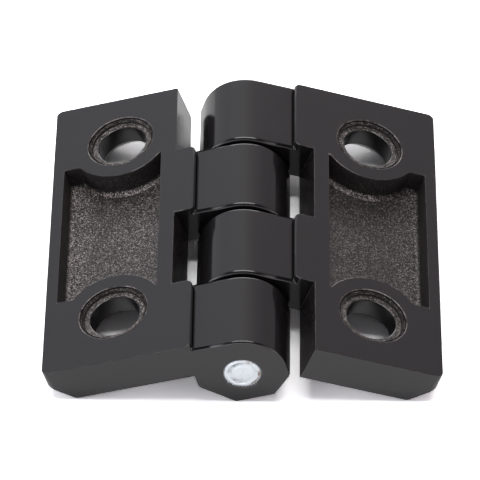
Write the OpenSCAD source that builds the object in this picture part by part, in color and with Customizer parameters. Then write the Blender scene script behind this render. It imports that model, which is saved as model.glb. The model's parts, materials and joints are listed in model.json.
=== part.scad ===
// Cast butt hinge with two equal leaves, four interleaved knuckles and a knurled pin.
// It lies on its front side as it comes to rest: the barrel and both outer edges touch
// the table, and the mounting faces look up. X runs across the hinge, Y along the pin,
// Z up. The origin is on the table, below the middle of the pin. Lengths in millimetres.

/* [Leaf] */
// Length of the hinge along its pin
hinge_len = 50; // [44:1:80]
// Reach of a leaf from the pin axis to its outer edge
leaf_reach = 25; // [24:0.5:40]
// Thickness of a leaf from its front face to its mounting face
leaf_t = 5.8; // [5.2:0.1:6.4]
// Height of the mounting face above the pin axis
back_h = 6.8; // [6.5:0.1:7.6]
// Height of the upright part of the outer edge, above its bevel
edge_h = 2.5; // [1.5:0.1:3.5]
// Radius of the leaf's upright corners
corner_r = 0.9; // [0.4:0.1:2]
// Setback of a leaf's plate at the end where the other leaf has the last knuckle
free_end_setback = 0.4; // [0.1:0.1:1]
// Slope of the inner edge over its whole height, for the mould
inner_draft = 0.3; // [0.1:0.05:0.6]
// Radius of the edges round the front face and round the foot of the barrel
edge_r = 0.5; // [0.2:0.1:0.8]

/* [Barrel] */
// Radius of the round side of the barrel
knuckle_r = 5.9; // [5:0.1:6.2]
// Drop from the pin axis to the flat foot of the barrel
foot_drop = 4.75; // [4.4:0.05:5.6]
// Reach of the upright heel of a knuckle, towards its own leaf
heel_reach = 6.05; // [5.6:0.05:6.6]
// Bevel between the foot and the free side of a knuckle
nose_bevel = 2.9; // [1.5:0.1:3.5]
// Bevel between the foot and the heel of a knuckle
heel_bevel = 3.85; // [2:0.05:4.4]
// Gap between neighbouring knuckles
knuckle_gap = 0.6; // [0.2:0.1:1.5]
// Radius of the knuckle rims at the gaps
rim_r = 0.5; // [0.2:0.1:0.9]
// Radius of the knuckle rims at the ends of the hinge
end_rim_r = 0.4; // [0.1:0.05:0.5]
// Gap between the barrel and the edge of the other leaf
barrel_gap = 1.5; // [1:0.1:3]
// Reach from the pin axis to the step where a leaf drops to its knuckle
shoulder_reach = 5; // [4:0.1:5.5]
// Radius of that step's upper edge
shoulder_r = 0.2; // [0.1:0.05:0.4]
// Radius of that step's upright corners
shoulder_corner_r = 0.8; // [0.4:0.1:1.2]
// Width of the groove along the step's foot, on the knuckle's side
groove_width = 0.3; // [0.2:0.05:0.4]
// Depth of that groove below the knuckle's flat
groove_depth = 0.45; // [0.2:0.05:0.6]

/* [Screw holes] */
// Diameter of a screw hole
hole_d = 6.7; // [4.5:0.1:7]
// Spacing of a leaf's two holes along the pin
hole_spacing = 32.4; // [30:0.2:36]
// Reach from the pin axis to the holes
hole_reach = 15.6; // [15:0.1:17]
// Diameter of the countersink at the front face
sink_d = 11.6; // [9:0.1:12.4]
// Diameter of the shallow recess round a hole, in the mounting face
recess_d = 9.4; // [8.8:0.1:10.4]
// Depth of that recess
recess_depth = 0.35; // [0.2:0.05:0.5]
// Diameter of the step inside the recess
ledge_d = 8.4; // [7.6:0.1:8.6]
// Depth of the step inside the recess
ledge_depth = 0.75; // [0.6:0.05:1]

/* [Pocket] */
// Length of the pocket along the pin
pocket_len = 25; // [22:0.5:28]
// Depth of the pocket
pocket_depth = 3.4; // [2:0.1:4]
// Width of the rim between the pocket and the outer edge
outer_rim = 1.6; // [1:0.1:3]
// Width of the rim between the pocket and the inner edge
inner_rim = 2.1; // [1.5:0.1:3]
// Diameter of the boss round a hole, where it stands into the pocket
boss_d = 13.4; // [12:0.1:14]
// Size of the sloped foot along the pocket's walls
pocket_fillet = 0.5; // [0.2:0.1:0.8]

/* [Pin] */
// Diameter of the plain pin
pin_d = 4.8; // [3:0.1:5.4]
// Running clearance between the pin and a bore, on the radius
pin_clearance = 0.05; // [0.02:0.01:0.1]
// Bite of the knurl's tips into the bore, on the radius
knurl_bite = 0.04; // [0.02:0.01:0.08]
// Depth of the knurl's teeth
knurl_depth = 0.16; // [0.08:0.02:0.3]
// Number of teeth round the knurl
knurl_teeth = 36; // [20:1:60]
// Length of the knurl at the front end of the pin
knurl_len = 7; // [4:0.5:10]
// Bevel at the plain end of the pin
pin_bevel = 0.4; // [0.2:0.1:0.8]
// Depth of the pin's ends below the ends of the barrel
pin_inset = 0.1; // [0.05:0.05:0.5]
// Bevel at the mouth of each bore
mouth_bevel = 0.15; // [0.1:0.05:0.3]

/* [Hidden] */
$fn = 96;

// Overrun of every cut past the face that it opens
over = 1;

// Knuckles: four along the pin, with a gap between neighbours, the right leaf's
// at places 0 and 2 from the back end and the left leaf's at 1 and 3.
knuckle_count = 4;
knuckle_len = (hinge_len - (knuckle_count - 1) * knuckle_gap) / knuckle_count;
function knuckle_top(place) = hinge_len / 2 - place * (knuckle_len + knuckle_gap);

// Leaf levels above the pin axis and reaches from it
front_h = back_h - leaf_t;
edge_bevel = leaf_t - edge_h;
foot_reach = leaf_reach - edge_bevel;
inner_reach = knuckle_r + barrel_gap;
pocket_in = inner_reach + inner_draft + inner_rim;
pocket_out = leaf_reach - outer_rim;
pocket_floor = back_h - pocket_depth;
sink_depth = (sink_d - hole_d) / 2;

// Every bevel runs at this angle, so an edge of radius edge_r on it begins
// edge_r * tan(bevel_angle / 2) before the sharp corner.
bevel_angle = 45;
barrel_corner = heel_reach - heel_bevel;

// Rest: each leaf tilts until its outer foot and the barrel's lowest edge lie on
// one level, and the pin lies at that height above the table.
rest_tilt = atan((front_h + foot_drop) / (foot_reach - barrel_corner));
pin_z = (barrel_corner - edge_r * tan(bevel_angle / 2)) * sin(rest_tilt)
    + (foot_drop - edge_r) * cos(rest_tilt) + edge_r;

bore_r = pin_d / 2 + pin_clearance;
knurl_tip_r = bore_r + knurl_bite;

// An outline in reach and height, drawn out along the pin from y0 to y1
module along_pin(y0, y1) {
    translate([0, y1, 0]) rotate([90, 0, 0]) linear_extrude(y1 - y0) children();
}

// An outline in place along the pin and height, drawn out along the reach
module across(u0, u1) {
    translate([u0, 0, 0]) rotate([90, 0, 90]) linear_extrude(u1 - u0) children();
}

function unit(v) = v / norm(v);

// An outline with a radius at each outward corner, its corners counted the way
// that keeps the inside on the left
module soft_polygon(corners, radii) {
    count = len(corners);
    difference() {
        polygon(corners);
        for (i = [0:count - 1]) if (radii[i] > 0)
            corner_cut(corners[(i + count - 1) % count], corners[i], corners[(i + 1) % count], radii[i]);
    }
}

// What a radius r takes away at a corner between the corners before and after it
module corner_cut(before, corner, after, r) {
    back = unit(before - corner);
    ahead = unit(after - corner);
    half_angle = acos(back * ahead) / 2;
    tangent = r / tan(half_angle);
    centre = corner + unit(back + ahead) * r / sin(half_angle);
    out_before = [-back[1], back[0]];
    out_after = [ahead[1], -ahead[0]];
    difference() {
        polygon([
            centre,
            corner + back * tangent + out_before * over,
            corner + (out_before + out_after) * over,
            corner + ahead * tangent + out_after * over
        ]);
        translate(centre) circle(r);
    }
}

// A rectangle between two corners, its radii counted from the low corner
module soft_rect(low, high, radii) {
    soft_polygon([low, [high[0], low[1]], high, [low[0], high[1]]], radii);
}

// Side view of a plate: inner edge with draft, outer edge with its bevel
module plate_outline() {
    soft_polygon([
        [inner_reach, front_h],
        [foot_reach, front_h],
        [leaf_reach, back_h - edge_h],
        [leaf_reach, back_h],
        [inner_reach + inner_draft, back_h]
    ], [0, edge_r, edge_r, 0, 0]);
}

// Side view of a knuckle: a quarter round on the free side, flat towards the
// leaf, and a faceted foot
module knuckle_outline() {
    intersection() {
        circle(knuckle_r);
        translate([-knuckle_r, 0]) square(knuckle_r);
    }
    soft_polygon([
        [-knuckle_r, 0],
        [-knuckle_r, nose_bevel - foot_drop],
        [nose_bevel - knuckle_r, -foot_drop],
        [barrel_corner, -foot_drop],
        [heel_reach, heel_bevel - foot_drop],
        [heel_reach, knuckle_r],
        [0, knuckle_r]
    ], [0, edge_r, edge_r, edge_r, edge_r, 0, 0]);
}

// Rim form of a knuckle from y0 to y1: rounded over the barrel's quarter round,
// over its flat and down its free side, with radius r0 at y0 and r1 at y1
module knuckle_rims(y0, y1, r0, r1) {
    // Quarter round, turned about the pin
    rotate([90, 0, 0]) rotate([0, 0, 90]) rotate_extrude(angle = 90)
        soft_rect([0, -y1], [knuckle_r, -y0], [0, r1, r0, 0]);
    // Flat and heel
    across(0, heel_reach) soft_rect([y0, -foot_drop], [y1, knuckle_r], [0, 0, r1, r0]);
    // Free side, below the quarter round
    translate([0, 0, -foot_drop]) linear_extrude(foot_drop)
        soft_rect([-knuckle_r, y0], [0, y1], [r0, 0, 0, r1]);
}

// End view of a leaf, with rounded edges where the front face meets the ends
module end_view() {
    half = hinge_len / 2;
    across(0, leaf_reach)
        soft_rect([free_end_setback - half, front_h], [half, back_h], [edge_r, edge_r, 0, 0]);
}

// A knuckle at its place along the pin, and the root that joins it to the plate
module knuckle(place) {
    y1 = knuckle_top(place);
    y0 = y1 - knuckle_len;
    r1 = place == 0 ? end_rim_r : rim_r;
    r0 = place == knuckle_count - 1 ? end_rim_r : rim_r;
    intersection() {
        along_pin(y0, y1) knuckle_outline();
        knuckle_rims(y0, y1, r0, r1);
    }
    // Root, with the step's upper edge rounded and its upright corners too
    intersection() {
        end_view();
        along_pin(y0, y1) soft_rect([shoulder_reach, front_h],
            [inner_reach + corner_r, back_h], [0, 0, 0, shoulder_r]);
        translate([0, 0, front_h]) linear_extrude(leaf_t)
            soft_rect([shoulder_reach, y0], [inner_reach + corner_r, y1],
                [shoulder_corner_r, 0, 0, shoulder_corner_r]);
    }
}

// The groove between a knuckle's flat and its root, cut down with one sloped side
module step_groove(place) {
    y1 = knuckle_top(place);
    along_pin(y1 - knuckle_len - over, y1 + over) polygon([
        [shoulder_reach - groove_width, knuckle_r],
        [shoulder_reach, knuckle_r - groove_depth],
        [shoulder_reach, knuckle_r + over],
        [shoulder_reach - groove_width, knuckle_r + over]
    ]);
}

// The plate: what its end view, its side view and its plan with rounded outer
// corners have in common
module plate() {
    half = hinge_len / 2;
    intersection() {
        end_view();
        along_pin(-half, half) plate_outline();
        translate([0, 0, front_h]) linear_extrude(leaf_t)
            soft_rect([0, free_end_setback - half], [leaf_reach, half], [0, corner_r, corner_r, 0]);
    }
}

// Plan of the pocket, smaller by an inset all round, with the bosses standing in
module pocket_outline(inset) {
    half = pocket_len / 2 - inset;
    difference() {
        translate([pocket_in + inset, -half]) square([pocket_out - pocket_in - 2 * inset, 2 * half]);
        for (side = [-1, 1]) translate([hole_reach, side * hole_spacing / 2]) circle(boss_d / 2 + inset);
    }
}

// The pocket in the mounting face, with a stepped foot along its walls
module pocket() {
    steps = 3;
    for (i = [0:steps]) {
        // Points of a quarter round between the floor and the wall
        angle = 90 * i / steps;
        rise = pocket_fillet * (1 - sin(angle));
        inset = pocket_fillet * (1 - cos(angle));
        translate([0, 0, pocket_floor + rise])
            linear_extrude(pocket_depth - rise + over) pocket_outline(inset);
    }
}

// A screw hole, cut down from the mounting face through to its countersink
module screw_hole() {
    translate([0, 0, front_h - over]) cylinder(h = leaf_t + 2 * over, d = hole_d);
    translate([0, 0, front_h]) cylinder(h = sink_depth, d1 = sink_d, d2 = hole_d);
    translate([0, 0, front_h - over]) cylinder(h = over, d = sink_d);
    translate([0, 0, back_h - recess_depth]) cylinder(h = recess_depth + over, d = recess_d);
    translate([0, 0, back_h - ledge_depth]) cylinder(h = ledge_depth + over, d = ledge_d);
}

// The bore for the pin, with a small bevel at both mouths of a knuckle
module pin_bore(place) {
    y1 = knuckle_top(place);
    translate([0, y1 + over, 0]) rotate([90, 0, 0]) cylinder(h = knuckle_len + 2 * over, r = bore_r);
    for (mouth = [[y1, 90], [y1 - knuckle_len, -90]])
        translate([0, mouth[0], 0]) rotate([mouth[1], 0, 0])
            cylinder(h = mouth_bevel, r1 = bore_r + mouth_bevel, r2 = bore_r);
}

// One leaf as cast, flat, with its mounting face up and the pin axis along Y
module leaf_casting() {
    difference() {
        union() {
            plate();
            for (place = [0, 2]) knuckle(place);
        }
        for (place = [0, 2]) {
            pin_bore(place);
            step_groove(place);
        }
        for (side = [-1, 1]) translate([hole_reach, side * hole_spacing / 2, 0]) screw_hole();
        pocket();
    }
}

// The right leaf at rest, tilted down about the pin
module right_leaf() {
    color("#3a3a3c") translate([0, 0, pin_z]) rotate([0, rest_tilt, 0]) leaf_casting();
}

// The left leaf is the same casting, turned half round
module left_leaf() {
    color("#3f3f42") rotate([0, 0, 180]) translate([0, 0, pin_z]) rotate([0, rest_tilt, 0]) leaf_casting();
}

// The pin: plain, with a knurl at its front end that bites into the left leaf
module hinge_pin() {
    half = hinge_len / 2 - pin_inset;
    plain_r = pin_d / 2;
    color("#d9dcdc") translate([0, 0, pin_z]) rotate([-90, 0, 0]) {
        translate([0, 0, -half]) linear_extrude(knurl_len) knurl_outline();
        rotate_extrude() polygon([
            [0, knurl_len - half],
            [plain_r, knurl_len - half],
            [plain_r, half - pin_bevel],
            [plain_r - pin_bevel, half],
            [0, half]
        ]);
    }
}

// End view of the knurl: one pointed tooth after another
module knurl_outline() {
    polygon([
        for (i = [0:2 * knurl_teeth - 1])
            let (r = i % 2 == 0 ? knurl_tip_r : knurl_tip_r - knurl_depth, angle = 180 * i / knurl_teeth)
            [r * cos(angle), r * sin(angle)]
    ]);
}

left_leaf();
right_leaf();
hinge_pin();
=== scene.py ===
import json
import math
import random

import bmesh
import bpy
import numpy as np
from mathutils import Matrix, Vector
from mathutils.geometry import delaunay_2d_cdt


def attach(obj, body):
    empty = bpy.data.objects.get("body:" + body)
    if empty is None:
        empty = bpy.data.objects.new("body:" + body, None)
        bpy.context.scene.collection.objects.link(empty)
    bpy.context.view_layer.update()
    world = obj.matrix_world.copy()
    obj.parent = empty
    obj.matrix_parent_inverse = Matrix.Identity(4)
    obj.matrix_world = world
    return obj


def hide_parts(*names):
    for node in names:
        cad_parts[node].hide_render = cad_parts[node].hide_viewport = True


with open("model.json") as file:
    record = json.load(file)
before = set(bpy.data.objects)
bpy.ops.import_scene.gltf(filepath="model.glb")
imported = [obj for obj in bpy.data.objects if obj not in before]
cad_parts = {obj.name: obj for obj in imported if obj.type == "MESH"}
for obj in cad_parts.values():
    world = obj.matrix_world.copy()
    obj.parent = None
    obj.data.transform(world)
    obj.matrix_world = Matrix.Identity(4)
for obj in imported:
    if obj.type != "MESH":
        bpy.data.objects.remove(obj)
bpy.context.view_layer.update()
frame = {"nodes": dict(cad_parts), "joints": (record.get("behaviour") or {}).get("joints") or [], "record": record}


# The two leaves are the same zinc die casting, turned end for end, with knuckles along the inner
# edge and a relief pocket between two turned screw seats. Black paint covers them. Their sharp
# edges are slightly broken, and the pocket and the seats keep the rough skin of the mould. The
# skin's bright grains are partly its own tone and partly painted glints. Some edge breaks and the
# foot of each boss carry painted highlights, and the floor in front of the bosses has painted shade.
MM = 0.001
SAME_PLACE = 0.01 * MM
MERGED = 0.001 * MM
BACK_FACE = 6.8 * MM
pin_height = frame["joints"][0]["pos_m"][2]


def leaf_space(side):
    """From the part's frame to a leaf's: u outwards from the pin, y along it, w to the mounting face."""
    name = side + "_mounting_face"
    face = next(m for m in frame["record"]["mounts"] if m["name"] == name)
    w = Vector(face["axis"])
    y = Vector((0, 1, 0)) if side == "right" else Vector((0, -1, 0))
    u = y.cross(w)
    turn = Matrix((u, y, w)).to_4x4()
    return turn @ Matrix.Translation((0, 0, -pin_height))


SCREW_HOLE = 3.35 * MM
SEAT_RIM = 4.7 * MM
SEAT_LEDGE = 6.05 * MM
SEAT_PLAY = 0.07 * MM
SEAT_CENTRES = (Vector((15.6, 16.2)) * MM, Vector((15.6, -16.2)) * MM)
BOSS_RADIUS = 6.7 * MM
BOSS_CORE = 6 * MM
POCKET_FLOOR = 3.4 * MM
POCKET_LOW = Vector((9.8, -12.5)) * MM
POCKET_HIGH = Vector((23.4, 12.5)) * MM
POCKET_PLAY = 0.2 * MM


def seat_distance(spot):
    """How far a point in leaf space is from the nearer screw hole's axis."""
    return min((Vector((spot[0], spot[1])) - centre).length for centre in SEAT_CENTRES)


def from_boss(spot):
    """The way from the nearer boss's axis to a point in leaf space, with y towards the leaf's end."""
    return Vector((spot[0] - SEAT_CENTRES[0].x, abs(spot[1]) - SEAT_CENTRES[0].y))


def in_seat(spot):
    """True for a point of a seat's stepped recess, in leaf space."""
    return seat_distance(spot) < SEAT_RIM + SAME_PLACE and spot[2] > SEAT_LEDGE - SEAT_PLAY


def in_pocket(spot):
    """True for a point of the pocket or its walls, in leaf space."""
    low, high = POCKET_LOW, POCKET_HIGH
    within = all(low[i] - POCKET_PLAY < spot[i] < high[i] + POCKET_PLAY for i in (0, 1))
    return within and seat_distance(spot) > BOSS_CORE


SEAT_SKIN = {"left": 0.8, "right": 0.65}
POCKET_SKIN = {"left": 1.12, "right": 0.71}
MIDDLE_SKIN = 0.52
OUTER_SKIN = 0.45
OUTER_START = 19.5 * MM
OUTER_RUN = 3.5 * MM
END_SKIN = 0.2
END_START = 8 * MM
END_RUN = 4 * MM
PAINTED_HIGHLIGHT_SKIN = 1.5
PAINTED_HIGHLIGHT_WIDTH = 0.75 * MM
PAINTED_LIGHT_FOCUS = 6
SHADE_DEPTH = 0.55
SHADE_WIDTH = 2.2 * MM


def share_past(value, start, run):
    """0 up to start, 1 from start plus run on, and even between the two."""
    return min(1, max(0, (value - start) / run))


def skin_share_with_painted_light(side, spot):
    """How rough the cast skin is at a point: most by the outer wall and the ends. Where a boss's foot faces the
    front it gets a painted highlight, and the floor just in front of it gets painted shade.
    """
    if seat_distance(spot) < SEAT_RIM:
        return SEAT_SKIN[side]
    outer = share_past(spot[0], OUTER_START, OUTER_RUN)
    ends = share_past(abs(spot[1]), END_START, END_RUN)
    share = (MIDDLE_SKIN + OUTER_SKIN * outer + END_SKIN * ends) * POCKET_SKIN[side]
    # Painted light: more bright grains on the front of a boss's foot as a painted highlight, and fewer on the
    # floor just in front as painted shade; the grain's height follows as well
    away = from_boss(spot)
    facing = max(0, -away.y / away.length) ** PAINTED_LIGHT_FOCUS
    off = away.length - BOSS_RADIUS
    if off < PAINTED_HIGHLIGHT_WIDTH:
        return share + (PAINTED_HIGHLIGHT_SKIN - share) * facing
    return share * (1 - SHADE_DEPTH * facing * max(0, 1 - (off - PAINTED_HIGHLIGHT_WIDTH) / SHADE_WIDTH))


def cut_away(leaf, space, chosen):
    """Deletes the faces below the back face whose corners, in leaf space, all pass a test."""
    old = []
    for face in leaf.faces:
        spots = [space @ v.co for v in face.verts]
        if all(chosen(s) for s in spots) and min(s.z for s in spots) < BACK_FACE - SAME_PLACE:
            old.append(face)
    bmesh.ops.delete(leaf, geom=old, context="FACES")


def rim_ring(edges):
    """The corners of an open rim, in the order that the faces beside it run."""
    following = {}
    for edge in edges:
        loop = edge.link_loops[0]
        following[loop.vert] = loop.link_loop_next.vert
    ring = [next(iter(following))]
    while following[ring[-1]] is not ring[0]:
        ring.append(following[ring[-1]])
    return ring


def next_row(solid, ring, made):
    """Joins two rows of corners with quads and returns the faces."""
    count = len(ring)
    faces = []
    for j in range(count):
        k = (j + 1) % count
        faces.append(solid.faces.new((ring[k], ring[j], made[j], made[k])))
    return faces


OUTLINE_PASSES = 40


def drawn_in(point, inset):
    """Moves a point of the pocket's outline onto the same outline drawn in by an inset."""
    for step in range(OUTLINE_PASSES):
        point = Vector(
            min(max(point[i], POCKET_LOW[i] + inset), POCKET_HIGH[i] - inset) for i in (0, 1)
        )
        for boss in SEAT_CENTRES:
            away = point - boss
            if away.length < BOSS_RADIUS + inset:
                point = boss + away.normalized() * (BOSS_RADIUS + inset)
    return point


WALL_STEP = 0.16 * MM
WALL_SKIN = 0.08
WALL_TOP_ROW = 0.3 * MM
FOOT_RADIUS = 0.5 * MM
FOOT_ROWS = 6


def wall_rows():
    """Inset, height and roughness of each row of corners down a pocket wall and round its foot."""
    rows = []
    level = BACK_FACE - WALL_TOP_ROW
    while level > POCKET_FLOOR + FOOT_RADIUS + 0.5 * WALL_STEP:
        rows.append((0, level, WALL_SKIN))
        level -= WALL_STEP
    for i in range(FOOT_ROWS + 1):
        angle = math.pi / 2 * i / FOOT_ROWS
        inset = FOOT_RADIUS * (1 - math.cos(angle))
        rise = FOOT_RADIUS * (1 - math.sin(angle))
        rows.append((inset, POCKET_FLOOR + rise, math.sqrt(i / FOOT_ROWS)))
    return rows


def pocket_walls(leaf, side, space):
    """Rebuilds the pocket's walls as fine rough rows, with a quarter round at their foot."""
    skin = leaf.verts.layers.float["skin_and_painted_light"]
    rough = leaf.faces.layers.float["rough_zone"]
    cut_away(leaf, space, lambda s: in_pocket(s) and s.z > POCKET_FLOOR - 0.1 * MM)
    for edge in [e for e in leaf.edges if len(e.link_faces) == 1]:
        cuts = int(edge.calc_length() / WALL_STEP)
        if cuts:
            bmesh.ops.subdivide_edges(leaf, edges=[edge], cuts=cuts)
    ring = rim_ring([e for e in leaf.edges if len(e.link_faces) == 1])
    back = space.inverted()
    outline = [drawn_in(Vector((space @ v.co).xy), 0) for v in ring]
    for vert, (u, y) in zip(ring, outline):
        vert.co = back @ Vector((u, y, BACK_FACE))
    for inset, level, share in wall_rows():
        made = []
        for point in outline:
            u, y = drawn_in(point, inset)
            made.append(leaf.verts.new(back @ Vector((u, y, level))))
            made[-1][skin] = max(WALL_SKIN, skin_share_with_painted_light(side, Vector((u, y, 0))) * share)
        for face in next_row(leaf, ring, made):
            face[rough] = 1
        ring = made
    leaf.faces.new(ring[::-1])[rough] = 1
    bmesh.ops.remove_doubles(leaf, verts=leaf.verts, dist=MERGED)


# Each turn of a seat's recess, from its rim to the ledge: radius and height in millimetres, roughness
SEAT_TURNS = (
    (4.62, 6.765, 0.0),
    (4.58, 6.70, 0.0),
    (4.57, 6.54, 0.02),
    (4.53, 6.46, 0.1),
    (4.48, 6.48, 0.5),
    (4.43, 6.52, 0.7),
    (4.38, 6.47, 0.5),
    (4.35, 6.38, 0.05),
    (4.31, 6.38, 0.05),
    (4.26, 6.46, 0.5),
    (4.21, 6.49, 0.7),
    (4.17, 6.44, 0.5),
    (4.14, 6.30, 0.03),
    (4.12, 6.14, 0.03),
    (4.08, 6.07, 0.4),
    (4.02, 6.05, 0.7),
    (3.62, 6.05, 0.7),
)
HIGHLIGHT_TURNS = 2
SMOOTH_TURNS = 3


def turned_seats(leaf, space):
    """Turns the stepped recess round each screw hole, with the fine rings that its tool left."""
    skin = leaf.verts.layers.float["skin_and_painted_light"]
    rough = leaf.faces.layers.float["rough_zone"]
    rubbed_and_highlit = leaf.faces.layers.float["edge_wear_and_highlight"]
    cut_away(leaf, space, lambda s: in_seat(s) and s.z > SEAT_LEDGE - SAME_PLACE)
    back = space.inverted()
    for centre in SEAT_CENTRES:
        rims = {True: [], False: []}
        for edge in leaf.edges:
            if len(edge.link_faces) == 1:
                spot = space @ edge.verts[0].co
                if (Vector(spot.xy) - centre).length < SEAT_RIM + 0.05 * MM:
                    rims[spot.z > BACK_FACE - 0.1 * MM].append(edge)
        ring = rim_ring(rims[True])
        ways = [(Vector((space @ v.co).xy) - centre).normalized() for v in ring]
        for turn, (radius, level, share) in enumerate(SEAT_TURNS):
            made = []
            for way in ways:
                u, y = centre + way * radius * MM
                made.append(leaf.verts.new(back @ Vector((u, y, level * MM))))
                made[-1][skin] = share
            for face in next_row(leaf, ring, made):
                face[rough] = 0 if turn < SMOOTH_TURNS else 1
                # The first turns at the rim take the rubbed colour as a painted highlight of the rim's edge
                face[rubbed_and_highlit] = 1 if turn < HIGHLIGHT_TURNS else 0
            ring = made
        last = [e for e in leaf.edges if len(e.link_faces) == 1 and e.verts[0] in ring]
        ledge = bmesh.ops.bridge_loops(leaf, edges=last + rims[False])
        for face in ledge["faces"]:
            face[rough] = 1
            face.normal_update()
            if (space.to_3x3() @ face.normal).z < 0:
                face.normal_flip()


STEP_WALL = 5.0 * MM
KNUCKLE_FLAT = 5.9 * MM
GROOVE_WIDTH = 0.3 * MM
GROOVE_DEPTH = 0.45 * MM
OPEN_WIDTH = 0.4
OPEN_DEPTH = 0.5


def in_groove(spot):
    """True for a point of the groove along a step's foot, in leaf space."""
    short = STEP_WALL - spot.x
    deep = KNUCKLE_FLAT - spot.z
    across = -SAME_PLACE < short < GROOVE_WIDTH + SAME_PLACE
    return across and -SAME_PLACE < deep < GROOVE_DEPTH + SAME_PLACE


def fine_groove(leaf, space):
    """Closes the groove at the step's foot to the hair line that the paint leaves of it."""
    back = space.inverted()
    for vert in leaf.verts:
        u, y, w = space @ vert.co
        short = STEP_WALL - u
        deep = KNUCKLE_FLAT - w
        across = -SAME_PLACE < short < GROOVE_WIDTH + SAME_PLACE
        if across and 0 < deep < GROOVE_DEPTH + SAME_PLACE:
            spot = Vector((STEP_WALL - OPEN_WIDTH * short, y, KNUCKLE_FLAT - OPEN_DEPTH * deep))
            vert.co = back @ spot
        elif abs(short - GROOVE_WIDTH) < SAME_PLACE and abs(deep) < SAME_PLACE:
            vert.co = back @ Vector((STEP_WALL - OPEN_WIDTH * short, y, w))


FLAT_ANGLE = math.radians(0.5)
SHARP_EDGE = math.radians(33)
EDGE_BREAK = 0.09 * MM
HEEL_CORNER = Vector((6.05, 25, 1.4)) * MM
HEEL_ZONE = 0.7 * MM
EDGE_WEAR = 0.2
ARC_HIGHLIGHT = 1.5
ARC_START = 0.15


def join_flat_triangles(leaf, space):
    """Joins the triangles of each flat wall into whole faces, so that only real edges are left."""
    outside = set()
    for vert in leaf.verts:
        spot = space @ vert.co
        if spot.z > BACK_FACE - SAME_PLACE or not (in_seat(spot) or in_pocket(spot)):
            outside.add(vert)
    bmesh.ops.dissolve_limit(
        leaf,
        angle_limit=FLAT_ANGLE,
        verts=[v for v in leaf.verts if v in outside],
        edges=[e for e in leaf.edges if e.verts[0] in outside and e.verts[1] in outside],
    )


def edges_to_break(leaf, space):
    """The sharp edges, but not those of the seats' rings, the grooves and the pocket's walls."""
    sharp = []
    for edge in leaf.edges:
        if edge.calc_face_angle(0) < SHARP_EDGE:
            continue
        spots = [space @ v.co for v in edge.verts]
        on_ring = all(in_seat(s) and seat_distance(s) > SCREW_HOLE + 0.02 * MM for s in spots)
        if on_ring or all(in_groove(s) for s in spots):
            continue
        if min((s - HEEL_CORNER).length for s in spots) < HEEL_ZONE:
            continue
        low, high = POCKET_FLOOR - 0.4 * MM, BACK_FACE - 0.1 * MM
        if not all(in_pocket(s) and low < s.z < high for s in spots):
            sharp.append(edge)
    return sharp


def break_edges(leaf, space):
    """Rounds the sharp edges and marks each as a little worn; the bosses' rims, on their side towards the pin,
    also get a painted highlight.
    """
    broken = bmesh.ops.bevel(
        leaf,
        geom=edges_to_break(leaf, space),
        offset=EDGE_BREAK,
        offset_type="OFFSET",
        segments=2,
        profile=0.5,
        affect="EDGES",
        clamp_overlap=False,
        loop_slide=True,
    )
    rubbed_and_highlit = leaf.faces.layers.float["edge_wear_and_highlight"]
    rough = leaf.faces.layers.float["rough_zone"]
    for face in broken["faces"]:
        face[rubbed_and_highlit] = EDGE_WEAR
        face[rough] = 0
        spot = space @ face.calc_center_median()
        away = from_boss(spot)
        if abs(away.length - BOSS_RADIUS) < 0.3 * MM and spot.z > BACK_FACE - 0.3 * MM:
            # Painted highlight: the rubbed colour on the boss's rim towards the pin stands for a reflection along
            # its edge
            face[rubbed_and_highlit] += ARC_HIGHLIGHT * max(0, -away.x / away.length - ARC_START)


NOTCH_WALL = 7.55 * MM
NOTCH_SKIN = 0.3


def rough_notches(leaf, space):
    """Leaves some cast skin on the walls behind the other leaf's knuckles, whose bright grains paint faint glints
    there.
    """
    skin = leaf.verts.layers.float["skin_and_painted_light"]
    for face in leaf.faces:
        way = space.to_3x3() @ face.normal
        off = abs((space @ face.calc_center_median()).x - NOTCH_WALL)
        if way.x < -0.9 and off < 0.6 * MM:
            for vert in face.verts:
                vert[skin] = NOTCH_SKIN


GRAIN = 0.125 * MM
GRAIN_JITTER = 0.3
GRAIN_SEED = {"left": 7, "right": 8}


def grain_points(low, high, draw):
    """A jittered triangular lattice of points over a rectangle, as u, y pairs."""
    rows = []
    row_step = GRAIN * math.sqrt(3) / 2
    for j in range(int((high[1] - low[1]) / row_step) + 1):
        shift = GRAIN / 2 * (j % 2)
        for i in range(int((high[0] - low[0]) / GRAIN) + 1):
            u = low[0] + shift + i * GRAIN + draw.uniform(-GRAIN_JITTER, GRAIN_JITTER) * GRAIN
            y = low[1] + j * row_step + draw.uniform(-GRAIN_JITTER, GRAIN_JITTER) * GRAIN
            rows.append((u, y))
    return np.array(rows)


def inside(points, starts, ends):
    """True for each point that lies inside the closed outline made of these edges."""
    px, py = points[:, 0, None], points[:, 1, None]
    x0, y0, x1, y1 = starts[:, 0], starts[:, 1], ends[:, 0], ends[:, 1]
    crosses = (y0 > py) != (y1 > py)
    rise = np.where(y1 == y0, 1, y1 - y0)
    at = x0 + (py - y0) / rise * (x1 - x0)
    return (np.sum(crosses & (px < at), axis=1) % 2) == 1


def clearance(points, starts, ends):
    """Distance from each point to the nearest edge of the outline."""
    run = ends - starts
    t = np.sum((points[:, None] - starts) * run, axis=2) / np.sum(run * run, axis=1)
    near = starts + np.clip(t, 0, 1)[:, :, None] * run
    return np.linalg.norm(points[:, None] - near, axis=2).min(axis=1)


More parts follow.
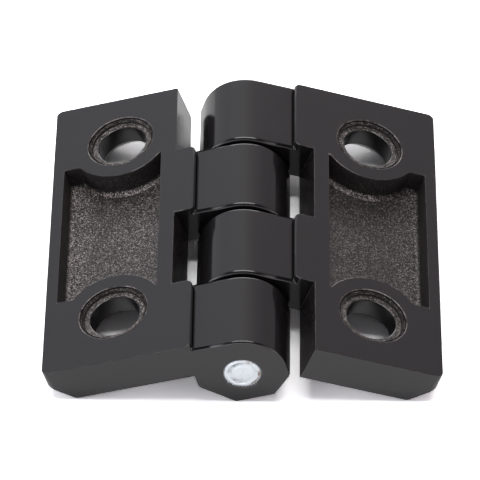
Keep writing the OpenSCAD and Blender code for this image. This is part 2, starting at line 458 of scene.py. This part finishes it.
def grain_face(leaf, side, space, level, draw):
    """Rebuilds the flat faces at one height as small uneven triangles with cast skin."""
    floor = []
    for face in leaf.faces:
        heights = [(space @ v.co).z for v in face.verts]
        if max(abs(h - level) for h in heights) < SAME_PLACE and face.calc_area() > 0:
            floor.append(face)
    held = set(floor)
    rim = [e for f in floor for e in f.edges if sum(g in held for g in e.link_faces) == 1]
    corners = list(dict.fromkeys(v for e in rim for v in e.verts))
    number = {v: i for i, v in enumerate(corners)}
    flat = [Vector((space @ v.co).xy) for v in corners]
    edges = [(number[e.verts[0]], number[e.verts[1]]) for e in rim]
    starts = np.array([flat[a] for a, b in edges])
    ends = np.array([flat[b] for a, b in edges])
    spots = grain_points(starts.min(axis=0), starts.max(axis=0), draw)
    spots = spots[inside(spots, starts, ends)]
    spots = spots[clearance(spots, starts, ends) > 0.35 * GRAIN]
    points = flat + [Vector(p) for p in spots]
    coords, _, triangles, origins, _, _ = delaunay_2d_cdt(points, edges, [], 0, 1e-9)
    bmesh.ops.delete(leaf, geom=floor, context="FACES")
    back = space.inverted()
    verts = []
    for coord, origin in zip(coords, origins):
        if origin and origin[0] < len(corners):
            verts.append(corners[origin[0]])
        else:
            verts.append(leaf.verts.new(back @ Vector((coord.x, coord.y, level))))
    middles = np.array([sum((coords[i] for i in t), Vector((0, 0))) / 3 for t in triangles])
    skin = leaf.verts.layers.float["skin_and_painted_light"]
    rough = leaf.faces.layers.float["rough_zone"]
    for triangle, kept in zip(triangles, inside(middles, starts, ends)):
        if kept:
            face = leaf.faces.new([verts[i] for i in triangle])
            face.smooth = False
            face[rough] = 1
    for vert in verts[len(corners):]:
        if not vert.link_faces:
            leaf.verts.remove(vert)
        else:
            vert[skin] = skin_share_with_painted_light(side, space @ vert.co)


def cast_leaf(side):
    """One leaf's mesh, made from its solid, with its pocket, seats, grooves and edges finished."""
    mesh = frame["nodes"][side + "_leaf"].data.copy()
    mesh.name = side + "_leaf_casting"
    space = leaf_space(side)
    leaf = bmesh.new()
    leaf.from_mesh(mesh)
    leaf.verts.layers.float.new("skin_and_painted_light")
    leaf.faces.layers.float.new("rough_zone")
    leaf.faces.layers.float.new("edge_wear_and_highlight")
    bmesh.ops.remove_doubles(leaf, verts=leaf.verts, dist=MERGED)
    pocket_walls(leaf, side, space)
    turned_seats(leaf, space)
    fine_groove(leaf, space)
    leaf.normal_update()
    join_flat_triangles(leaf, space)
    break_edges(leaf, space)
    rough_notches(leaf, space)
    for face in leaf.faces:
        face.smooth = True
    draw = random.Random(GRAIN_SEED[side])
    for level in (POCKET_FLOOR, SEAT_LEDGE):
        grain_face(leaf, side, space, level, draw)
    leaf.to_mesh(mesh)
    leaf.free()
    mesh.set_sharp_from_angle(angle=SHARP_EDGE)
    return mesh


def feed(tree, socket, source):
    """Joins another node's output to a socket, or sets the socket's own value."""
    if isinstance(source, bpy.types.NodeSocket):
        tree.links.new(source, socket)
    else:
        socket.default_value = source


def maths(tree, operation, *terms):
    """The result of a sum over sockets and plain numbers."""
    node = tree.nodes.new("ShaderNodeMath")
    node.operation = operation
    for socket, term in zip(node.inputs, terms):
        feed(tree, socket, term)
    return node.outputs[0]


def ranged(tree, value, start, end, low, high):
    """A value carried from the range start to end onto low to high, and held at both ends."""
    node = tree.nodes.new("ShaderNodeMapRange")
    feed(tree, node.inputs["Value"], value)
    node.inputs["From Min"].default_value = start
    node.inputs["From Max"].default_value = end
    node.inputs["To Min"].default_value = low
    node.inputs["To Max"].default_value = high
    return node.outputs["Result"]


def mixed(tree, share, under, over):
    """One colour over another, by a share from 0 to 1."""
    node = tree.nodes.new("ShaderNodeMix")
    node.data_type = "RGBA"
    feed(tree, node.inputs[0], share)
    for socket, colour in ((node.inputs[6], under), (node.inputs[7], over)):
        feed(tree, socket, (*colour, 1) if isinstance(colour, tuple) else colour)
    return node.outputs[2]


def noise(tree, place, scale, detail, roughness=0.5):
    """The value of a noise pattern over the piece, with scale in patches per metre."""
    node = tree.nodes.new("ShaderNodeTexNoise")
    feed(tree, node.inputs["Vector"], place)
    feed(tree, node.inputs["Scale"], scale)
    node.inputs["Detail"].default_value = detail
    node.inputs["Roughness"].default_value = roughness
    return node.outputs["Fac"]


def mark(tree, name):
    """How strong a mark of the mesh is at the point seen."""
    node = tree.nodes.new("ShaderNodeAttribute")
    node.attribute_name = name
    return node.outputs["Fac"]


def bumped(tree, height, depth, normal=None):
    """The surface's normal with a pattern of this depth on it, over another bump if there is one."""
    node = tree.nodes.new("ShaderNodeBump")
    node.inputs["Strength"].default_value = 1
    node.inputs["Distance"].default_value = depth
    feed(tree, node.inputs["Height"], height)
    if normal:
        feed(tree, node.inputs["Normal"], normal)
    return node.outputs["Normal"]


def named_inputs(tree, way, kind, *names):
    """Adds sockets of one kind to a node group."""
    for name in names:
        tree.interface.new_socket(name, in_out=way, socket_type="NodeSocket" + kind)


def cast_skin_tree():
    """Moves each corner marked as cast skin out or in by a random part of the grain height."""
    tree = bpy.data.node_groups.new("skin_and_painted_light", "GeometryNodeTree")
    named_inputs(tree, "INPUT", "Geometry", "Geometry")
    named_inputs(tree, "INPUT", "Float", "Grain Height")
    named_inputs(tree, "INPUT", "Int", "Seed")
    named_inputs(tree, "INPUT", "Material", "Paint", "Rough Paint")
    named_inputs(tree, "OUTPUT", "Geometry", "Geometry")
    node, link = tree.nodes.new, tree.links.new
    given, made = node("NodeGroupInput"), node("NodeGroupOutput")
    skin = node("GeometryNodeInputNamedAttribute")
    skin.data_type = "FLOAT"
    skin.inputs["Name"].default_value = "skin_and_painted_light"
    height = node("FunctionNodeRandomValue")
    height.data_type = "FLOAT"
    height.inputs[2].default_value = -1
    height.inputs[3].default_value = 1
    link(given.outputs["Seed"], height.inputs["Seed"])
    share = maths(tree, "MULTIPLY", skin.outputs["Attribute"], height.outputs[1])
    grain = maths(tree, "MULTIPLY", share, given.outputs["Grain Height"])
    move = node("ShaderNodeVectorMath")
    move.operation = "SCALE"
    link(node("GeometryNodeInputNormal").outputs["Normal"], move.inputs[0])
    link(grain, move.inputs["Scale"])
    place = node("GeometryNodeSetPosition")
    link(given.outputs["Geometry"], place.inputs["Geometry"])
    link(move.outputs[0], place.inputs["Offset"])
    real = node("GeometryNodeRealizeInstances")
    link(place.outputs["Geometry"], real.inputs["Geometry"])
    paint = node("GeometryNodeSetMaterial")
    link(real.outputs["Geometry"], paint.inputs["Geometry"])
    link(given.outputs["Paint"], paint.inputs["Material"])
    zone = node("GeometryNodeInputNamedAttribute")
    zone.data_type = "FLOAT"
    zone.inputs["Name"].default_value = "rough_zone"
    rough_paint = node("GeometryNodeSetMaterial")
    link(paint.outputs["Geometry"], rough_paint.inputs["Geometry"])
    link(zone.outputs["Attribute"], rough_paint.inputs["Selection"])
    link(given.outputs["Rough Paint"], rough_paint.inputs["Material"])
    link(rough_paint.outputs["Geometry"], made.inputs["Geometry"])
    return tree


def plain_mesh(name, mesh, tree, values):
    """Runs a Geometry Nodes tree on a mesh and returns an object that holds the plain result."""
    worker = bpy.data.objects.new(name + "_work", mesh)
    bpy.context.scene.collection.objects.link(worker)
    steps = worker.modifiers.new("nodes", "NODES")
    steps.node_group = tree
    for item in tree.interface.items_tree:
        if item.item_type == "SOCKET" and item.in_out == "INPUT" and item.name in values:
            steps[item.identifier] = values[item.name]
    bpy.context.view_layer.update()
    scene_now = bpy.context.evaluated_depsgraph_get()
    seen = worker.evaluated_get(scene_now)
    result = bpy.data.meshes.new_from_object(
        seen, preserve_all_data_layers=True, depsgraph=scene_now
    )
    bpy.data.objects.remove(worker)
    result.name = name
    obj = bpy.data.objects.new(name, result)
    bpy.context.scene.collection.objects.link(obj)
    return obj


FEWEST_GRAINS = 0.4


def cast_grain_group():
    """Shader group: bright grains and bump height of a cast surface, for any finish laid over it. The bright
    grains are partly the skin's own tone and partly painted glints.
    """
    tree = bpy.data.node_groups.new("cast_grain", "ShaderNodeTree")
    named_inputs(tree, "INPUT", "Vector", "Vector")
    named_inputs(tree, "INPUT", "Float", "Cells per Metre", "Sharpness", "Amount")
    named_inputs(tree, "OUTPUT", "Float", "Speckle", "Height")
    node, link = tree.nodes.new, tree.links.new
    given, made = node("NodeGroupInput"), node("NodeGroupOutput")
    place, scale, amount = (given.outputs[n] for n in ("Vector", "Cells per Metre", "Amount"))
    cells = node("ShaderNodeTexVoronoi")
    link(place, cells.inputs["Vector"])
    link(scale, cells.inputs["Scale"])
    parts = node("ShaderNodeSeparateColor")
    link(cells.outputs["Color"], parts.inputs["Color"])
    capped = maths(tree, "MINIMUM", amount, 1)
    eased = maths(tree, "MULTIPLY_ADD", capped, 1 - FEWEST_GRAINS, FEWEST_GRAINS)
    rarer = maths(tree, "DIVIDE", given.outputs["Sharpness"], eased)
    bright = maths(tree, "POWER", parts.outputs["Red"], rarer)
    link(maths(tree, "MULTIPLY", bright, amount), made.inputs["Speckle"])
    grain = noise(tree, place, scale, 3)
    link(maths(tree, "MULTIPLY", grain, amount), made.inputs["Height"])
    return tree


WEAR_STARTS = 0.42
WEAR_WHOLE = 0.68


def worn_edge_group():
    """Shader group: where an edge break shows its rubbed wear and, on the seats' and bosses' rims, its painted
    highlight, in broken stretches along the edge.
    """
    tree = bpy.data.node_groups.new("worn_and_highlit_edge", "ShaderNodeTree")
    named_inputs(tree, "INPUT", "Vector", "Vector")
    named_inputs(tree, "INPUT", "Float", "Edge", "Stretches per Metre")
    named_inputs(tree, "OUTPUT", "Float", "Wear_and_Highlight")
    given, made = tree.nodes.new("NodeGroupInput"), tree.nodes.new("NodeGroupOutput")
    patch = noise(tree, given.outputs["Vector"], given.outputs["Stretches per Metre"], 5, 0.7)
    cut = ranged(tree, patch, WEAR_STARTS, WEAR_WHOLE, 0, 1)
    tree.links.new(maths(tree, "MULTIPLY", cut, given.outputs["Edge"]), made.inputs["Wear_and_Highlight"])
    return tree


# Each finish's grain colour is the colour of its bright grains: partly the skin's own tone, partly painted glints
SATIN = {
    "shine": 0.6,
    "colour": (0.008, 0.0072, 0.0078),
    "grain_and_painted_glint": (0.24, 0.205, 0.195),
    "cells": 8000,
    "sharpness": 4,
    "roughness": (0.11, 0.17),
    "dull": 0.0,
}
ROUGH = {
    "shine": 0.3,
    "colour": (0.0085, 0.0072, 0.0066),
    "grain_and_painted_glint": (0.53, 0.465, 0.45),
    "cells": 8500,
    "sharpness": 3.8,
    "roughness": (0.3, 0.4),
    "dull": 0.35,
}
# The rubbed colour is real wear on most edge breaks and a painted highlight on the seats' rims and the bosses'
# rims
RUBBED_AND_HIGHLIGHT_COLOUR = (0.22, 0.19, 0.175)
RUBBED_ROUGHNESS = 0.3
WORN_STRETCHES = 900
CLOUDS = 260
PAINT_PEEL = 900
PEEL_DEPTH = 0.0015 * MM
GRAIN_DEPTH = 0.05 * MM
DULL_SKIN = (0.08, 0.4)


def black_paint(name, finish):
    """Black paint over the casting, with its cast grain, painted glints, worn edges and painted edge highlights,
    at one finish's values.
    """
    material = bpy.data.materials.new(name)
    material.use_nodes = True
    tree = material.node_tree
    node, link = tree.nodes.new, tree.links.new
    shader = tree.nodes["Principled BSDF"]
    shader.inputs["Specular IOR Level"].default_value = finish["shine"]
    place = node("ShaderNodeTexCoord").outputs["Object"]
    skin = mark(tree, "skin_and_painted_light")
    grain = node("ShaderNodeGroup")
    grain.node_tree = grain_group
    grain.inputs["Cells per Metre"].default_value = finish["cells"]
    grain.inputs["Sharpness"].default_value = finish["sharpness"]
    link(place, grain.inputs["Vector"])
    link(skin, grain.inputs["Amount"])
    wear_and_highlight = node("ShaderNodeGroup")
    wear_and_highlight.node_tree = edge_group
    wear_and_highlight.inputs["Stretches per Metre"].default_value = WORN_STRETCHES
    link(place, wear_and_highlight.inputs["Vector"])
    link(mark(tree, "edge_wear_and_highlight"), wear_and_highlight.inputs["Edge"])
    # The bright grains lay painted glints into the colour, along with the skin's own tone
    tone = mixed(tree, grain.outputs["Speckle"], finish["colour"], finish["grain_and_painted_glint"])
    link(mixed(tree, wear_and_highlight.outputs["Wear_and_Highlight"], tone, RUBBED_AND_HIGHLIGHT_COLOUR), shader.inputs["Base Color"])
    matt = node("ShaderNodeMix")
    link(wear_and_highlight.outputs["Wear_and_Highlight"], matt.inputs[0])
    link(ranged(tree, noise(tree, place, CLOUDS, 4), 0, 1, *finish["roughness"]), matt.inputs[2])
    matt.inputs[3].default_value = RUBBED_ROUGHNESS
    dull = ranged(tree, skin, *DULL_SKIN, finish["dull"], 0)
    link(maths(tree, "ADD", matt.outputs[0], dull), shader.inputs["Roughness"])
    peel = bumped(tree, noise(tree, place, PAINT_PEEL, 2), PEEL_DEPTH)
    link(bumped(tree, grain.outputs["Height"], GRAIN_DEPTH, peel), shader.inputs["Normal"])
    return material


GRAIN_HEIGHT = 0.045 * MM
grain_group = cast_grain_group()
edge_group = worn_edge_group()
paint = black_paint("satin_black_paint", SATIN)
rough_paint = black_paint("rough_black_paint", ROUGH)
skin_tree = cast_skin_tree()
for side in ("left", "right"):
    mesh = cast_leaf(side)
    mesh.materials.clear()
    mesh.materials.append(paint)
    mesh.materials.append(rough_paint)
    values = {"Grain Height": GRAIN_HEIGHT, "Seed": 3, "Paint": paint, "Rough Paint": rough_paint}
    leaf = plain_mesh(side + "_leaf_casting", mesh, skin_tree, values)
    flat = leaf.modifiers.new("flat_faces", "WEIGHTED_NORMAL")
    flat.keep_sharp = True
    flat.weight = 100
    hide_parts(side + "_leaf")
    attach(leaf, side)


# The hinge pin is drawn steel wire, cut to length and pressed in from the front. Its ends are left
# as sheared: a ragged rim, a shallow crack round the middle and a few brown marks from the cutting.
PIN_END = 24.9 * MM
PIN_SHANK = 24.48 * MM
PIN_SHARP = math.radians(40)
PIN_SEED = 21

# Each ring of a sheared end, from its rim to its middle: radius and depth in millimetres, crack share
SHEARED_END = (
    (2.39, 0.12, 0.0),
    (2.385, 0.04, 0.0),
    (2.35, 0.008, 0.0),
    (2.15, 0.0, 0.0),
    (1.95, 0.012, 0.0),
    (1.88, 0.02, 0.4),
    (1.78, 0.03, 1.0),
    (1.66, 0.04, 1.0),
    (1.52, 0.03, 1.0),
    (1.40, 0.02, 0.4),
    (1.30, 0.012, 0.0),
    (0.85, 0.004, 0.0),
    (0.35, 0.0, 0.0),
)

# Marks round the pin: angle and spread in degrees, strength
CRACKS = ((118, 24, 1.0), (246, 22, 1.0), (168, 16, 0.5), (20, 30, 0.15))
SCORCHES = ((66, 12, 0.9), (2, 11, 1.0), (-42, 16, 1.0), (-8, 30, 0.4))
REAR_TURN = 140
CRACK_DEPTH = 0.12
SCORCH_DEPTH = 0.05
PITTED_RADIUS = 2.2
SCORCHED_RADIUS = 2.0
RAGGED_RADIUS = 1.9
RAGGED_WAVES = (2, 3, 5, 7, 11, 16)
WAVE_PHASES = 6.28
RIM_SHARE = 0.978
RIM_WAVE = 0.02
RIM_BURN = 0.012


def around(marks, degrees):
    """How strong marks, each given as angle, spread and strength, are at an angle round the pin."""
    total = 0
    for middle, spread, strength in marks:
        off = (degrees - middle + 180) % 360 - 180
        total += strength * math.exp(-((off / spread) ** 2))
    return min(1, total)


def sheared_end(pin, end, draw):
    """Rebuilds one end of the pin as rings from its rim to its middle, ragged, cracked and scorched."""
    bruise = pin.verts.layers.float["bruise"]
    scorch = pin.verts.layers.float["scorch"]
    old = [f for f in pin.faces if all(v.co.y * end > PIN_SHANK for v in f.verts)]
    bmesh.ops.delete(pin, geom=old, context="FACES")
    rim = [e for e in pin.edges if len(e.link_faces) == 1 and e.verts[0].co.y * end > 0]
    ring = rim_ring(rim)
    angles = [math.atan2(v.co.z - pin_height, v.co.x) for v in ring]
    waves = [(n, draw.uniform(0, WAVE_PHASES)) for n in RAGGED_WAVES]
    for radius, depth, cracked in SHEARED_END:
        made = []
        for angle in angles:
            degrees = math.degrees(angle) + (0 if end < 0 else REAR_TURN)
            crack = around(CRACKS, degrees)
            burnt = around(SCORCHES, degrees) if radius > SCORCHED_RADIUS else 0
            ragged = sum(math.sin(n * angle + phase) for n, phase in waves) / len(waves)
            size = radius * MM
            if radius > RAGGED_RADIUS:
                size *= RIM_SHARE + RIM_WAVE * ragged - RIM_BURN * burnt
            pitted = burnt if radius > PITTED_RADIUS else 0
            sunk = depth + cracked * CRACK_DEPTH * crack + SCORCH_DEPTH * pitted
            spot = Vector((
                math.cos(angle) * size,
                end * (PIN_END - sunk * MM),
                pin_height + math.sin(angle) * size,
            ))
            made.append(pin.verts.new(spot))
            made[-1][bruise] = cracked * crack
            made[-1][scorch] = burnt
        next_row(pin, ring, made)
        ring = made
    pin.faces.new(ring[::-1])


def sheared_pin():
    """The pin's mesh, made from its solid, with both ends as sheared."""
    mesh = frame["nodes"]["hinge_pin"].data.copy()
    mesh.name = "hinge_pin_steel"
    pin = bmesh.new()
    pin.from_mesh(mesh)
    pin.verts.layers.float.new("bruise")
    pin.verts.layers.float.new("scorch")
    bmesh.ops.remove_doubles(pin, verts=pin.verts, dist=MERGED)
    draw = random.Random(PIN_SEED)
    for end in (-1, 1):
        sheared_end(pin, end, draw)
    for face in pin.faces:
        face.smooth = True
    pin.to_mesh(mesh)
    pin.free()
    mesh.set_sharp_from_angle(angle=PIN_SHARP)
    return mesh


STEEL_DULL = (0.7, 0.745, 0.775)
STEEL_BRIGHT = (0.8, 0.85, 0.88)
STEEL_ROUGHNESS = (0.32, 0.5)
STEEL_MARKS = {"bruise": (0.16, 0.17, 0.17), "scorch": (0.2, 0.11, 0.07)}
BLOTCHES = 2600
BLOTCH_RANGE = (0.3, 0.6)
TORN_DEPTH = 0.006 * MM


def bright_steel():
    """Bare sheared steel: blotchy and half bright, with its cracks grey and its scorches brown."""
    material = bpy.data.materials.new("bright_steel")
    material.use_nodes = True
    tree = material.node_tree
    shader = tree.nodes["Principled BSDF"]
    shader.inputs["Metallic"].default_value = 1
    place = tree.nodes.new("ShaderNodeTexCoord").outputs["Object"]
    blotch = noise(tree, place, BLOTCHES, 4, 0.65)
    shade = ranged(tree, blotch, *BLOTCH_RANGE, 0, 1)
    tone = mixed(tree, shade, STEEL_DULL, STEEL_BRIGHT)
    for name, colour in STEEL_MARKS.items():
        tone = mixed(tree, maths(tree, "MULTIPLY", mark(tree, name), shade), tone, colour)
    feed(tree, shader.inputs["Base Color"], tone)
    feed(tree, shader.inputs["Roughness"], ranged(tree, blotch, 0, 1, *STEEL_ROUGHNESS))
    feed(tree, shader.inputs["Normal"], bumped(tree, blotch, TORN_DEPTH))
    return material


pin_mesh = sheared_pin()
pin_mesh.materials.clear()
pin_mesh.materials.append(bright_steel())
pin = bpy.data.objects.new("hinge_pin_steel", pin_mesh)
bpy.context.scene.collection.objects.link(pin)
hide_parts("hinge_pin")
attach(pin, "left")


# The table is a plain white sheet, matt all over, and it isn't part of the hinge. Seen directly it is
# brighter than it lights the hinge, so that it comes out white and keeps the hinge's soft shadow.
# Mirrored in the paint it is a little brighter as well.
TABLE_HALF = 3.0
TABLE_TONE = (0.8, 0.8, 0.8)
MIRRORED_TONE = (0.92, 0.92, 0.92)
SEEN_TONE = (2.2, 2.2, 2.2)


def white_table():
    """Matt white that takes its tone from what looks at it: the camera, a mirroring face or the rest."""
    material = bpy.data.materials.new("white_table")
    material.use_nodes = True
    tree = material.node_tree
    tree.nodes.clear()
    matte = tree.nodes.new("ShaderNodeBsdfDiffuse")
    out = tree.nodes.new("ShaderNodeOutputMaterial")
    path = tree.nodes.new("ShaderNodeLightPath").outputs
    mirrored = maths(tree, "MAXIMUM", path["Is Glossy Ray"], path["Is Transmission Ray"])
    tone = mixed(tree, mirrored, TABLE_TONE, MIRRORED_TONE)
    feed(tree, matte.inputs["Color"], mixed(tree, path["Is Camera Ray"], tone, SEEN_TONE))
    feed(tree, out.inputs["Surface"], matte.outputs[0])
    return material


table_mesh = bpy.data.meshes.new("table")
corners = [(-1, -1), (1, -1), (1, 1), (-1, 1)]
table_mesh.from_pydata(
    [(x * TABLE_HALF, y * TABLE_HALF, 0) for x, y in corners], [], [(0, 1, 2, 3)]
)
table_mesh.materials.append(white_table())
table = bpy.data.objects.new("table", table_mesh)
bpy.context.scene.collection.objects.link(table)


# The light is that of a white tent: pale on the left, greyer on the right and dim in front, so that
# the two leaves and the sides of the barrel differ in tone. Low in front and at both front corners
# it is brighter, where the end faces and the bevels mirror it.
TENT_TONES = (
    (0.15, (0.74, 0.75, 0.79)),
    (0.31, (0.87, 0.86, 0.92)),
    (0.48, (0.98, 0.96, 0.98)),
    (0.6, (0.76, 0.72, 0.73)),
    (0.69, (0.62, 0.57, 0.61)),
    (0.85, (0.36, 0.33, 0.35)),
)
FRONT_LEVEL = 0.12
BACK_LEVEL = 0.92
LOW_LEVEL = 2.4
WING_LEVEL = 2.2


def tent_light():
    """The tent's tone across it from left to right, and its level from front to back."""
    world = bpy.data.worlds.new("white_tent")
    world.use_nodes = True
    tree = world.node_tree
    background = tree.nodes["Background"]
    split = tree.nodes.new("ShaderNodeSeparateXYZ")
    feed(tree, split.inputs[0], tree.nodes.new("ShaderNodeTexCoord").outputs["Generated"])
    x, y, z = split.outputs
    tones = tree.nodes.new("ShaderNodeValToRGB")
    ramp = tones.color_ramp.elements
    while len(ramp) < len(TENT_TONES):
        ramp.new(0.5)
    for element, (spot, colour) in zip(ramp, TENT_TONES):
        element.position = spot
        element.color = (*colour, 1)
    feed(tree, tones.inputs["Fac"], ranged(tree, x, -1, 1, 0, 1))
    feed(tree, background.inputs["Color"], tones.outputs["Color"])
    behind = ranged(tree, y, -0.1, 0.6, FRONT_LEVEL, BACK_LEVEL)
    low = ranged(tree, z, 0.5, 0.28, 0, LOW_LEVEL)
    wings = ranged(tree, maths(tree, "ABSOLUTE", x), 0.6, 0.85, 0, WING_LEVEL)
    front = ranged(tree, y, 0.3, -0.1, 0, 1)
    level = maths(tree, "MULTIPLY_ADD", maths(tree, "ADD", low, wings), front, behind)
    feed(tree, background.inputs["Strength"], level)
    return world


def softbox(name, width, depth, power, place, tilt):
    """A flat lamp, faced down and tilted about the hinge's width, in metres, watts and degrees."""
    data = bpy.data.lights.new(name, "AREA")
    data.shape = "RECTANGLE"
    data.size = width
    data.size_y = depth
    data.energy = power
    lamp = bpy.data.objects.new(name, data)
    lamp.location = place
    lamp.rotation_euler = (math.radians(tilt), 0, 0)
    bpy.context.scene.collection.objects.link(lamp)


bpy.context.scene.world = tent_light()
softbox("overhead_softbox", 0.8, 0.5, 7.2, (0, 0.09, 1.0), -5)
softbox("rear_strip", 0.9, 0.3, 4.5, (0, 1.1, 0.49), -66)


# The camera stands in front of the hinge, well above it, as in the photograph, and looks just left
# of the pin's middle. Its lens is long for its distance, so the lines along the pin close in little.
SENSOR = 36
FOCAL_PIXELS = 4003.16
FRAME_PIXELS = 480
AIM = Vector((-0.5199, -0.4444, 0)) * MM + Vector((0, 0, pin_height))
ELEVATION = math.radians(44.6537)
DISTANCE = 532.371 * MM
ROLL = math.radians(0.7443)

camera_data = bpy.data.cameras.new("camera")
camera_data.sensor_width = SENSOR
camera_data.lens = FOCAL_PIXELS / FRAME_PIXELS * SENSOR
camera_data.clip_end = 10
camera = bpy.data.objects.new("camera", camera_data)
bpy.context.scene.collection.objects.link(camera)
stand = AIM + DISTANCE * Vector((0, -math.cos(ELEVATION), math.sin(ELEVATION)))
camera.matrix_world = (
    Matrix.Translation(stand)
    @ Matrix.Rotation(math.pi / 2 - ELEVATION, 4, "X")
    @ Matrix.Rotation(ROLL, 4, "Z")
)
bpy.context.scene.camera = camera
bpy.context.scene.view_settings.view_transform = "Standard"
